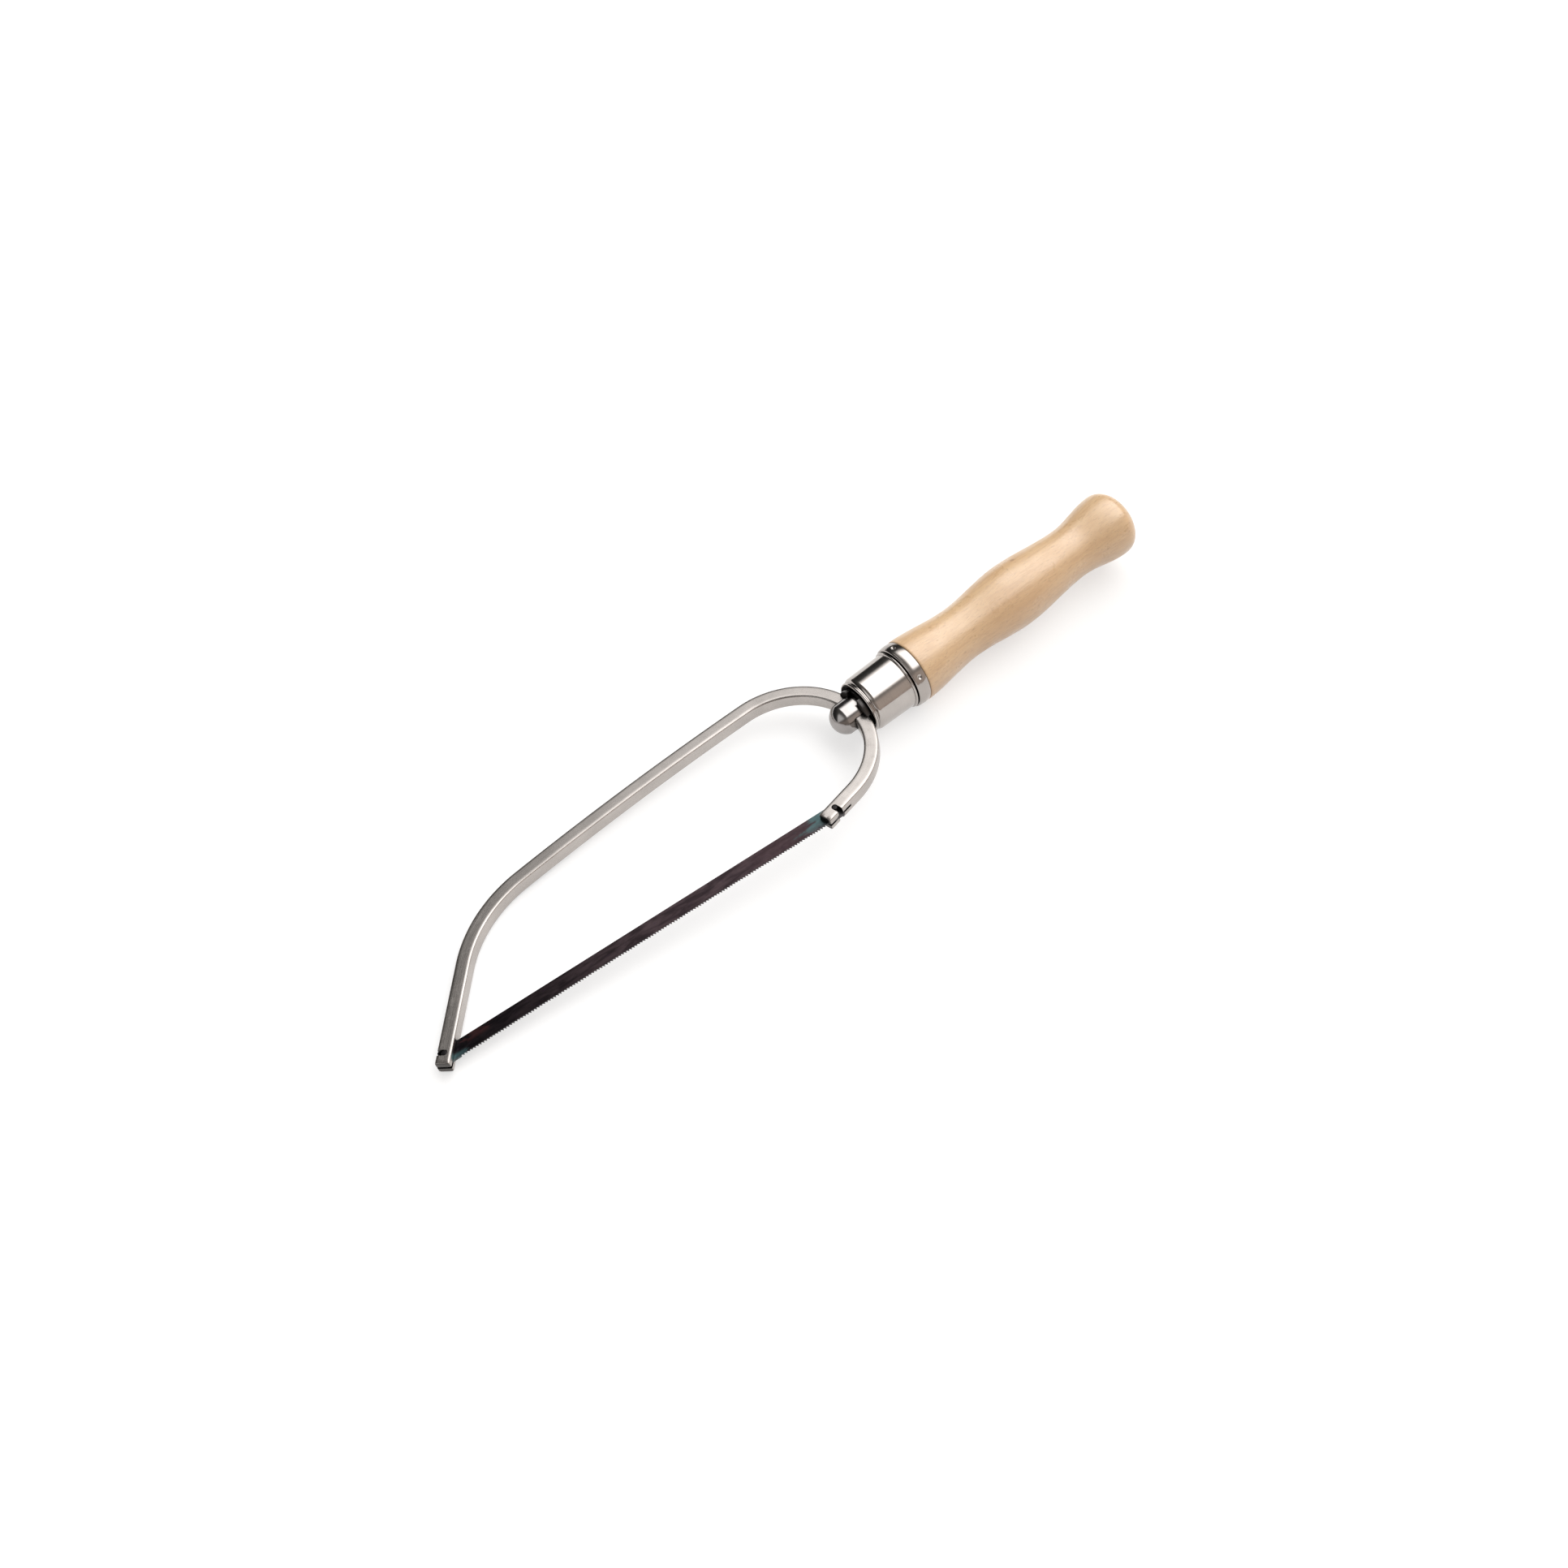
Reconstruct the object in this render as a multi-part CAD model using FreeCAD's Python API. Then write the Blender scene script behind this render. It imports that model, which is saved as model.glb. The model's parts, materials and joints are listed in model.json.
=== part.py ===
import FreeCAD, Part
import math
import os

from FreeCAD import Matrix, Placement, Rotation, Vector

# Small bow saw with a pinned blade, an adjustable bow and a turned wooden handle.
#
# The bow is one square bar, notched and slit at both ends to hold the blade's cross
# pins.  It passes through the eye of a draw bolt.  The nut in the handle pulls the bolt
# back, so that the eye presses the bow into the notches of a crown at the front of the
# handle.  Slackened, the bow slides through the eye along its round rear bend.
#
# Pieces are modelled in the saw's own plane: X along the blade towards the handle, Y
# towards the bow's arm, Z across the bow, with the origin at the front blade pin.  The
# finished saw is then laid on a level surface: Z up, X along the handle.  Millimetres.

# ---- blade -------------------------------------------------------------------------
BLADE_PAST_PIN = 2.0         # plain end past each pin
BLADE_WIDTH = 6.0
BLADE_THICKNESS = 0.65
BLADE_CORNER = 0.6
PIN_DISTANCE = 146.0
PIN_DIAMETER = 1.8
TOOTH_PITCH = 1.0
TOOTH_DEPTH = 0.6
TOOTH_BACK_SHARE = 0.75      # share of the pitch under the tooth's sloping back
TEETH_FROM_PIN = 4.0         # plain edge between each pin and the first tooth

# ---- bow ---------------------------------------------------------------------------
BAR = 5.0                    # side of the square bar
BAR_CORNER = 0.5
LEG_ANGLE = 53.6             # front leg to blade, degrees
FRONT_BEND_RADIUS = 47.5     # radii are to the middle of the bar
ARM_RADIUS = 1050.0          # the long arm is very slightly bowed
ARM_END_ANGLE = 4.2          # arm to blade where the rear bend starts, degrees
REAR_BEND_RADIUS = 27.5
REAR_ANGLE = 17.0            # rear end to blade, degrees
REAR_RUN = 9.4               # straight bar between the rear pin and the rear bend
FRONT_END = 4.0              # bar past the front pin
REAR_END = 5.2               # bar past the rear pin
FRONT_SLIT_RUNOUT = 0.8      # slit past the blade's back
REAR_SLIT_RUNOUT = 2.2       # slit past the blade's end

# ---- clamp -------------------------------------------------------------------------
HANDLE_ANGLE = 5.75          # handle to blade, degrees
HEAD_DIAMETER = 11.2         # draw bolt's round head
HEAD_NOSE = 5.9              # head in front of the eye
HEAD_DOME = 4.0              # height of the domed nose
HEAD_TAIL = 1.0              # head behind the eye
THREAD_DIAMETER = 8.0
THREAD_LENGTH = 38.0
CROWN_DIAMETER = 15.6
CROWN_NOTCH_DEPTH = 1.6
CROWN_BASE = 2.6
SLEEVE_DIAMETER = 21.0
SLEEVE_TAPER = 0.5           # the sleeve's front is this much smaller
SLEEVE_WALL = 1.2
SLEEVE_LIP = 0.8             # radius of the rounded front edge
SLEEVE_REACH = 0.2           # sleeve's front edge before the bar's back face
SLEEVE_LENGTH = 17.5
SLEEVE_BEAD_DIAMETER = 22.2
SLEEVE_BEAD_LENGTH = 0.9
WASHER_THICKNESS = 1.0
NUT_TAIL_DIAMETER = 13.0
NUT_TAIL_LENGTH = 15.0
NUT_FLANGE = 1.2

# ---- handle ------------------------------------------------------------------------
FERRULE_DIAMETER = 23.8
FERRULE_LENGTH = 4.8
FERRULE_WALL = 0.8
FERRULE_EDGE = 0.5
DIMPLE_COUNT = 5
DIMPLE_RADIUS = 1.0
DIMPLE_DEPTH = 0.4
DIMPLE_AT = 2.4              # behind the ferrule's front
DIMPLE_FIRST = 75.0          # first dimple, degrees round the handle from +Y to +Z
FRONT_NECK_DIAMETER = 19.7
FRONT_NECK_AT = 23.6         # these distances run from the front of the bare wood
BELLY_DIAMETER = 23.6
BELLY_AT = 47.5
REAR_NECK_DIAMETER = 19.3
REAR_NECK_AT = 75.1
KNOB_DIAMETER = 24.2
KNOB_AT = 93.0
HANDLE_LENGTH = 100.5

# ---- clearances --------------------------------------------------------------------
SEAT_GAP = 0.05              # between faces that press together or run on each other
RUNNING = 0.05               # radial, thread and shank
SLIDING = 0.15               # each side of the bar, and round the nut in the sleeve
HEAD_CLEARANCE = 0.2         # radial, bolt head in the crown
EYE_SLACK = 0.2              # behind the bar in the eye
BLADE_CLEARANCE = 0.15       # each side of the blade in its slit
PIN_CLEARANCE = 0.1          # radial, pin in its notch
PIN_FIT = 0.01               # radial, pin in the blade
TURNING_GAP = 0.3            # between the sleeve and the ferrule that turns behind it

# ---- densities, kg per cubic millimetre --------------------------------------------
STEEL = 7.85e-6
BEECH = 0.70e-6


# ==== places worked out from the sizes above ========================================

def unit(degrees):
    """Unit vector in the saw's plane."""
    a = math.radians(degrees)
    return Vector(math.cos(a), math.sin(a), 0)


FRONT_PIN = Vector(0, 0, 0)
REAR_PIN = Vector(PIN_DISTANCE, 0, 0)
LEG_NORMAL = unit(LEG_ANGLE + 90)
REAR_NORMAL = unit(REAR_ANGLE - 90)
REAR_BEND_START = REAR_PIN + unit(REAR_ANGLE) * REAR_RUN
BEND_CENTRE = REAR_BEND_START - REAR_NORMAL * REAR_BEND_RADIUS
ARM_CENTRE = BEND_CENTRE - unit(ARM_END_ANGLE + 90) * (ARM_RADIUS - REAR_BEND_RADIUS)


def front_bend_centre():
    """Centre of the bend that is tangent to the leg and to the arm from inside."""
    start = FRONT_PIN - LEG_NORMAL * FRONT_BEND_RADIUS
    along = unit(LEG_ANGLE)
    offset = start - ARM_CENTRE
    half_b = offset.dot(along)
    c = offset.dot(offset) - (ARM_RADIUS - FRONT_BEND_RADIUS) ** 2
    return start + along * (math.sqrt(half_b * half_b - c) - half_b)


FRONT_CENTRE = front_bend_centre()
ARM_START_ANGLE = math.degrees(math.atan2(FRONT_CENTRE.y - ARM_CENTRE.y,
                                          FRONT_CENTRE.x - ARM_CENTRE.x)) - 90

# Distances along the handle's axis, from the centre of the rear bend.
HEAD_RADIUS = HEAD_DIAMETER / 2
BAR_FRONT = REAR_BEND_RADIUS - BAR / 2
BAR_BACK = REAR_BEND_RADIUS + BAR / 2
EYE_FRONT = math.sqrt(BAR_FRONT ** 2 - HEAD_RADIUS ** 2) - SEAT_GAP
EYE_BACK = BAR_BACK + EYE_SLACK
HEAD_TIP = EYE_FRONT - HEAD_NOSE
HEAD_BACK = EYE_BACK + HEAD_TAIL
THREAD_END = HEAD_BACK + THREAD_LENGTH
CROWN_BORE = HEAD_RADIUS + HEAD_CLEARANCE
CROWN_CONTACT_SQUARED = CROWN_BORE ** 2 - (BAR / 2) ** 2    # off the axis, squared
CROWN_FLOOR = math.sqrt(BAR_BACK ** 2 - CROWN_CONTACT_SQUARED) + SEAT_GAP
CROWN_FRONT = CROWN_FLOOR - CROWN_NOTCH_DEPTH
CROWN_BACK = HEAD_BACK + HEAD_CLEARANCE + CROWN_BASE
SLEEVE_FRONT = BAR_BACK - SLEEVE_REACH
SLEEVE_BACK = SLEEVE_FRONT + SLEEVE_LENGTH
SLEEVE_BORE = (SLEEVE_DIAMETER - SLEEVE_TAPER) / 2 - SLEEVE_WALL
WASHER_BACK = CROWN_BACK + WASHER_THICKNESS
NUT_FRONT = WASHER_BACK + SEAT_GAP
FERRULE_FRONT = SLEEVE_BACK + TURNING_GAP
FERRULE_BACK = FERRULE_FRONT + FERRULE_LENGTH
NUT_FLANGE_FRONT = FERRULE_FRONT + FERRULE_WALL
NUT_FLANGE_BACK = NUT_FLANGE_FRONT + NUT_FLANGE
NUT_BACK = NUT_FLANGE_BACK + NUT_TAIL_LENGTH
FERRULE_BORE = FERRULE_DIAMETER / 2 - FERRULE_WALL
HANDLE_END = FERRULE_BACK + HANDLE_LENGTH


# ==== shape helpers =================================================================

def at(x, y, z=0.0):
    return Vector(x, y, z)


def on_arc(centre, radius, degrees):
    return centre + unit(degrees) * radius


def arc(centre, radius, start, end):
    middle = (start + end) / 2
    return Part.Arc(on_arc(centre, radius, start),
                    on_arc(centre, radius, middle),
                    on_arc(centre, radius, end)).toShape()


def line(p, q):
    return Part.LineSegment(p, q).toShape()


def polyline(points):
    return [line(p, q) for p, q in zip(points, points[1:])]


def lathe(edges):
    """Solid turned about the X axis from the edges of a closed half profile."""
    face = Part.Face(Part.Wire(edges))
    return the_solid(face.revolve(Vector(0, 0, 0), Vector(1, 0, 0), 360))


def turned(points):
    """Solid turned about the X axis from (distance, radius) corners."""
    corners = [at(x, r) for x, r in points]
    return lathe(polyline(corners + corners[:1]))


def block(x0, x1, y0, y1, z0, z1):
    return Part.makeBox(x1 - x0, y1 - y0, z1 - z0, Vector(x0, y0, z0))


def the_solid(shape):
    """The one solid in a shape."""
    if len(shape.Solids) != 1:
        raise ValueError("a piece has %d solids" % len(shape.Solids))
    return shape.Solids[0]


def in_bar(shape, pin, degrees):
    """Put a shape made along +X at a pin, with X along the bar there."""
    shape.Placement = Placement(pin, Rotation(Vector(0, 0, 1), degrees))
    return shape


def on_handle(shape):
    """Put a shape made along +X on the handle's axis."""
    place = Placement(BEND_CENTRE, Rotation(Vector(0, 0, 1), HANDLE_ANGLE))
    shape.Placement = place.multiply(shape.Placement)
    return shape


# ==== bow ===========================================================================

def bow_side(offset):
    """Edges of one side of the bar, offset outwards, from the front tip to the rear."""
    leg_start = FRONT_PIN - unit(LEG_ANGLE) * FRONT_END + LEG_NORMAL * offset
    rear_end = REAR_PIN - unit(REAR_ANGLE) * REAR_END + REAR_NORMAL * offset
    front = FRONT_BEND_RADIUS + offset
    rear = REAR_BEND_RADIUS + offset
    arm_start = ARM_START_ANGLE + 90
    arm_end = ARM_END_ANGLE + 90
    return [
        line(leg_start, on_arc(FRONT_CENTRE, front, LEG_ANGLE + 90)),
        arc(FRONT_CENTRE, front, LEG_ANGLE + 90, arm_start),
        arc(ARM_CENTRE, ARM_RADIUS + offset, arm_start, arm_end),
        arc(BEND_CENTRE, rear, arm_end, REAR_ANGLE - 90),
        line(on_arc(BEND_CENTRE, rear, REAR_ANGLE - 90), rear_end),
    ]


def pin_notch(side):
    """Cutter for a notch with a round floor, open on the bar's +Y or -Y side."""
    radius = PIN_DIAMETER / 2 + PIN_CLEARANCE
    floor = Part.makeCylinder(radius, 2 * BAR, Vector(0, 0, -BAR))
    mouth = sorted((0, side * BAR))
    return floor.fuse(block(-radius, radius, mouth[0], mouth[1], -BAR, BAR))


def blade_slit(past_pin, end):
    """Cutter for the slit in the bar's plane, open at the bar's end."""
    half = BLADE_THICKNESS / 2 + BLADE_CLEARANCE
    return block(-end - 1, past_pin, -BAR, BAR, -half, half)


def bow():
    outer = bow_side(BAR / 2)
    inner = bow_side(-BAR / 2)
    front_cap = line(inner[0].Vertexes[0].Point, outer[0].Vertexes[0].Point)
    rear_cap = line(outer[-1].Vertexes[-1].Point, inner[-1].Vertexes[-1].Point)
    outline = Part.Wire(Part.__sortEdges__(outer + inner + [front_cap, rear_cap]))
    bar = Part.Face(outline).extrude(Vector(0, 0, BAR))
    bar.translate(Vector(0, 0, -BAR / 2))
    bar = bar.makeFillet(BAR_CORNER, bar.Edges)

    leg = math.radians(LEG_ANGLE)
    rear = math.radians(REAR_ANGLE)
    past_back = (BLADE_WIDTH / 2 + BAR / 2 * math.cos(leg)) / math.sin(leg)
    past_corner = BLADE_PAST_PIN * math.cos(rear) + BLADE_WIDTH / 2 * math.sin(rear)
    cutters = [
        in_bar(pin_notch(1), FRONT_PIN, LEG_ANGLE),
        in_bar(blade_slit(past_back + FRONT_SLIT_RUNOUT, FRONT_END), FRONT_PIN, LEG_ANGLE),
        in_bar(pin_notch(-1), REAR_PIN, REAR_ANGLE),
        in_bar(blade_slit(past_corner + REAR_SLIT_RUNOUT, REAR_END), REAR_PIN, REAR_ANGLE),
    ]
    return the_solid(bar.cut(cutters))


# ==== blade =========================================================================

def saw_blade():
    back = BLADE_WIDTH / 2
    tips = -BLADE_WIDTH / 2
    roots = tips + TOOTH_DEPTH
    first = TEETH_FROM_PIN
    count = int((PIN_DISTANCE - 2 * TEETH_FROM_PIN) / TOOTH_PITCH)
    corners = [at(-BLADE_PAST_PIN, back), at(-BLADE_PAST_PIN, tips), at(first, tips)]
    for i in range(count):
        gullet = first + i * TOOTH_PITCH + (1 - TOOTH_BACK_SHARE) * TOOTH_PITCH
        tip = first + (i + 1) * TOOTH_PITCH
        corners += [at(gullet, roots), at(tip, tips)]
    corners += [at(PIN_DISTANCE + BLADE_PAST_PIN, tips), at(PIN_DISTANCE + BLADE_PAST_PIN, back)]
    outline = Part.Wire(polyline(corners + corners[:1]))
    blade = Part.Face(outline).extrude(Vector(0, 0, BLADE_THICKNESS))
    blade.translate(Vector(0, 0, -BLADE_THICKNESS / 2))
    ends = (-BLADE_PAST_PIN, PIN_DISTANCE + BLADE_PAST_PIN)
    upright = [e for e in blade.Edges
               if abs(e.BoundBox.ZLength - BLADE_THICKNESS) < 1e-6
               and min(abs(e.BoundBox.XMin - x) for x in ends) < 1e-6]
    blade = blade.makeFillet(BLADE_CORNER, upright)
    hole = PIN_DIAMETER / 2 + PIN_FIT
    holes = [Part.makeCylinder(hole, 4 * BLADE_THICKNESS, pin - Vector(0, 0, 2 * BLADE_THICKNESS))
             for pin in (FRONT_PIN, REAR_PIN)]
    return the_solid(blade.cut(holes))


def blade_pin(place):
    """Cross pin, a little shorter than the bar is wide, with eased ends."""
    length = BAR - 2 * PIN_CLEARANCE
    pin = Part.makeCylinder(PIN_DIAMETER / 2, length, place - Vector(0, 0, length / 2))
    rims = [e for e in pin.Edges if isinstance(e.Curve, Part.Circle)]
    return the_solid(pin.makeChamfer(PIN_CLEARANCE, rims))


# ==== clamp =========================================================================

def draw_bolt():
    dome_base = HEAD_TIP + HEAD_DOME
    dome_radius = (HEAD_RADIUS ** 2 + HEAD_DOME ** 2) / (2 * HEAD_DOME)
    dome_centre = HEAD_TIP + dome_radius
    half_angle = math.atan2(HEAD_RADIUS, dome_centre - dome_base) / 2
    dome_middle = at(dome_centre - dome_radius * math.cos(half_angle),
                     dome_radius * math.sin(half_angle))
    thread = THREAD_DIAMETER / 2
    edge = 0.4
    point = 1.0
    dome = Part.Arc(at(HEAD_TIP, 0), dome_middle, at(dome_base, HEAD_RADIUS)).toShape()
    rest = polyline([
        at(dome_base, HEAD_RADIUS),
        at(HEAD_BACK - edge, HEAD_RADIUS),
        at(HEAD_BACK, HEAD_RADIUS - edge),
        at(HEAD_BACK, thread),
        at(THREAD_END - point, thread),
        at(THREAD_END, thread - point),
        at(THREAD_END, 0),
        at(HEAD_TIP, 0),
    ])
    bolt = lathe([dome] + rest)
    half = BAR / 2 + SLIDING
    eye = block(EYE_FRONT, EYE_BACK, -HEAD_DIAMETER, HEAD_DIAMETER, -half, half)
    along = [e for e in eye.Edges if e.BoundBox.YLength > HEAD_DIAMETER]
    eye = eye.makeFillet(BAR_CORNER, along)
    return on_handle(the_solid(bolt.cut(eye)))


def clamp_crown():
    """Notched boss on a base that is pressed into the sleeve."""
    outer = CROWN_DIAMETER / 2
    shank = THREAD_DIAMETER / 2 + RUNNING
    base_front = CROWN_BACK - CROWN_BASE
    easing = 0.3
    crown = turned([
        (CROWN_FRONT, CROWN_BORE),
        (CROWN_FRONT, outer - easing),
        (CROWN_FRONT + easing, outer),
        (base_front, outer),
        (base_front, SLEEVE_BORE),
        (CROWN_BACK, SLEEVE_BORE),
        (CROWN_BACK, shank),
        (base_front, shank),
        (base_front, CROWN_BORE),
    ])
    half = BAR / 2 + SLIDING
    reach = CROWN_DIAMETER
    across_y = block(CROWN_FRONT - 1, CROWN_FLOOR, -reach, reach, -half, half)
    across_z = block(CROWN_FRONT - 1, CROWN_FLOOR, -half, half, -reach, reach)
    return on_handle(the_solid(crown.cut([across_y, across_z])))


def clamp_sleeve():
    front = (SLEEVE_DIAMETER - SLEEVE_TAPER) / 2
    back = SLEEVE_DIAMETER / 2
    bead = SLEEVE_BEAD_DIAMETER / 2
    bead_front = SLEEVE_BACK - SLEEVE_BEAD_LENGTH
    lip_turn = math.radians(45)
    lip = Part.Arc(
        at(SLEEVE_FRONT, front - SLEEVE_LIP),
        at(SLEEVE_FRONT + SLEEVE_LIP * (1 - math.cos(lip_turn)),
           front - SLEEVE_LIP * (1 - math.sin(lip_turn))),
        at(SLEEVE_FRONT + SLEEVE_LIP, front)).toShape()
    roll = Part.Arc(
        at(bead_front, back),
        at((bead_front + SLEEVE_BACK) / 2, bead),
        at(SLEEVE_BACK, back)).toShape()
    barrel = line(at(SLEEVE_FRONT + SLEEVE_LIP, front), at(bead_front, back))
    inside = polyline([
        at(SLEEVE_BACK, back),
        at(SLEEVE_BACK, SLEEVE_BORE),
        at(SLEEVE_FRONT, SLEEVE_BORE),
        at(SLEEVE_FRONT, front - SLEEVE_LIP),
    ])
    return on_handle(lathe([lip, barrel, roll] + inside))


def thrust_washer():
    outer = SLEEVE_BORE - SLIDING
    inner = THREAD_DIAMETER / 2 + HEAD_CLEARANCE
    return on_handle(turned([
        (CROWN_BACK, inner), (CROWN_BACK, outer), (WASHER_BACK, outer), (WASHER_BACK, inner)]))


def handle_nut():
    """Threaded insert: a hub that turns in the sleeve, a flange and a tail in the wood."""
    bore = THREAD_DIAMETER / 2 + RUNNING
    hub = SLEEVE_BORE - SLIDING
    tail = NUT_TAIL_DIAMETER / 2
    return on_handle(turned([
        (NUT_FRONT, bore),
        (NUT_FRONT, hub),
        (NUT_FLANGE_FRONT, hub),
        (NUT_FLANGE_FRONT, FERRULE_BORE),
        (NUT_FLANGE_BACK, FERRULE_BORE),
        (NUT_FLANGE_BACK, tail),
        (NUT_BACK, tail),
        (NUT_BACK, bore),
    ]))


def ferrule():
    """Cup over the handle's front, open in the middle, with punched dimples."""
    outer = FERRULE_DIAMETER / 2
    hole = SLEEVE_BORE
    edge = Part.Arc(
        at(FERRULE_FRONT, outer - FERRULE_EDGE),
        at(FERRULE_FRONT + FERRULE_EDGE * (1 - math.sqrt(0.5)),
           outer - FERRULE_EDGE * (1 - math.sqrt(0.5))),
        at(FERRULE_FRONT + FERRULE_EDGE, outer)).toShape()
    cup = lathe([edge] + polyline([
        at(FERRULE_FRONT + FERRULE_EDGE, outer),
        at(FERRULE_BACK, outer),
        at(FERRULE_BACK, FERRULE_BORE),
        at(NUT_FLANGE_FRONT, FERRULE_BORE),
        at(NUT_FLANGE_FRONT, hole),
        at(FERRULE_FRONT, hole),
        at(FERRULE_FRONT, outer - FERRULE_EDGE),
    ]))
    dimples = []
    for i in range(DIMPLE_COUNT):
        turn = math.radians(DIMPLE_FIRST + i * 360 / DIMPLE_COUNT)
        away = outer + DIMPLE_RADIUS - DIMPLE_DEPTH
        dimples.append(Part.makeSphere(
            DIMPLE_RADIUS, at(FERRULE_FRONT + DIMPLE_AT, away * math.cos(turn), away * math.sin(turn))))
    return on_handle(the_solid(cup.cut(dimples)))


def wooden_handle():
    """Turned grip with two necks, a belly and a rounded knob, bored for nut and bolt."""
    shoulder = FERRULE_DIAMETER / 2
    knob = KNOB_DIAMETER / 2
    start = FERRULE_BACK
    cap = HANDLE_LENGTH - KNOB_AT
    level = Vector(1, 0, 0)
    waves = Part.BSplineCurve()
    stations = [
        at(start, shoulder),
        at(start + FRONT_NECK_AT, FRONT_NECK_DIAMETER / 2),
        at(start + BELLY_AT, BELLY_DIAMETER / 2),
        at(start + REAR_NECK_AT, REAR_NECK_DIAMETER / 2),
        at(start + KNOB_AT, knob),
    ]
    waves.interpolate(Points=stations, Tangents=[level] * len(stations),
                      TangentFlags=[True] * len(stations))
    end = Part.BSplineCurve()
    end.interpolate(
        Points=[at(start + KNOB_AT, knob), at(start + KNOB_AT + 0.72 * cap, 0.76 * knob),
                at(HANDLE_END, 0)],
        Tangents=[level, Vector(0.75, -0.9, 0), Vector(0, -1.2, 0)],
        TangentFlags=[True, True, True])
    nut_hole = NUT_TAIL_DIAMETER / 2
    bolt_hole = THREAD_DIAMETER / 2 + HEAD_CLEARANCE
    bolt_room = THREAD_END + THREAD_DIAMETER / 2
    bore = polyline([
        at(HANDLE_END, 0),
        at(bolt_room, 0),
        at(bolt_room, bolt_hole),
        at(NUT_BACK, bolt_hole),
        at(NUT_BACK, nut_hole),
        at(NUT_FLANGE_BACK, nut_hole),
        at(NUT_FLANGE_BACK, FERRULE_BORE),
        at(start, FERRULE_BORE),
        at(start, shoulder),
    ])
    return on_handle(lathe([waves.toShape(), end.toShape()] + bore))


# ==== the whole saw =================================================================

def pieces():
    """Every piece by its node name, with its density, in the saw's plane."""
    return {
        "bow": (bow(), STEEL),
        "saw_blade": (saw_blade(), STEEL),
        "blade_pin_front": (blade_pin(FRONT_PIN), STEEL),
        "blade_pin_rear": (blade_pin(REAR_PIN), STEEL),
        "draw_bolt": (draw_bolt(), STEEL),
        "clamp_crown": (clamp_crown(), STEEL),
        "clamp_sleeve": (clamp_sleeve(), STEEL),
        "thrust_washer": (thrust_washer(), STEEL),
        "handle_nut": (handle_nut(), STEEL),
        "ferrule": (ferrule(), STEEL),
        "wooden_handle": (wooden_handle(), BEECH),
    }


def balance(parts):
    mass = sum(shape.Volume * density for shape, density in parts.values())
    moment = Vector(0, 0, 0)
    for shape, density in parts.values():
        moment += shape.CenterOfMass * (shape.Volume * density)
    return moment * (1 / mass)


def touching_direction(centre_of_mass):
    """Outward direction at which the front bend touches the surface.

    The saw leans on its ferrule and its front bend.  It is steady when the point on
    the bend, the centre of mass and the ferrule are in one line.
    """
    ferrule_at = BEND_CENTRE + unit(HANDLE_ANGLE) * FERRULE_FRONT
    along = ferrule_at - centre_of_mass
    along.z = 0
    along.normalize()
    radius = FRONT_BEND_RADIUS + BAR / 2 - BAR_CORNER
    offset = centre_of_mass - FRONT_CENTRE
    offset.z = 0
    half_b = offset.dot(along)
    c = offset.dot(offset) - radius ** 2
    contact = centre_of_mass - along * (half_b + math.sqrt(half_b * half_b - c))
    outward = contact - FRONT_CENTRE
    outward.z = 0
    return outward.normalize()


def resting_up(outward):
    """The surface's upward normal, for a saw that touches at bend and ferrule."""
    round_centre = FRONT_CENTRE + outward * (FRONT_BEND_RADIUS + BAR / 2 - BAR_CORNER)
    round_centre.z = BAR_CORNER - BAR / 2
    axis = unit(HANDLE_ANGLE)
    ferrule_centre = BEND_CENTRE + axis * (FERRULE_FRONT + FERRULE_EDGE)
    ferrule_radius = FERRULE_DIAMETER / 2
    tilt = 0.0
    for _ in range(50):
        up = Vector(0, 0, 1) * math.cos(tilt) - outward * math.sin(tilt)
        reach = ferrule_radius * math.sqrt(1 - axis.dot(up) ** 2)
        rise = (ferrule_centre - round_centre).dot(up) - (reach - BAR_CORNER)
        tilt -= rise / (round_centre - ferrule_centre).dot(outward)
    return up


def resting_place(parts):
    """Placement that lays the saw on a level surface, centred over the origin."""
    up = resting_up(touching_direction(balance(parts)))
    forward = unit(HANDLE_ANGLE)
    forward = (forward - up * forward.dot(up)).normalize()
    left = up.cross(forward)
    level = Matrix(forward.x, forward.y, forward.z, 0,
                   left.x, left.y, left.z, 0,
                   up.x, up.y, up.z, 0,
                   0, 0, 0, 1)
    turned_level = Placement(level)
    laid = Part.makeCompound([shape.copy() for shape, _ in parts.values()])
    laid.Placement = turned_level
    box = laid.optimalBoundingBox(False, False)
    centre = Vector((box.XMin + box.XMax) / 2, (box.YMin + box.YMax) / 2, box.ZMin)
    return Placement(centre * -1, Rotation()).multiply(turned_level)


def main():
    parts = pieces()
    place = resting_place(parts)
    os.makedirs("parts", exist_ok=True)
    for name, (shape, _) in parts.items():
        shape.Placement = place.multiply(shape.Placement)
        shape.exportStep("parts/" + name + ".step")
        print(name, shape.ShapeType, len(shape.Solids), shape.isValid(), round(shape.Volume, 2))
    return parts, place


main()
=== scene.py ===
import json
import math

import bmesh
import bpy
import numpy as np
from mathutils import Matrix, Vector


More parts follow.
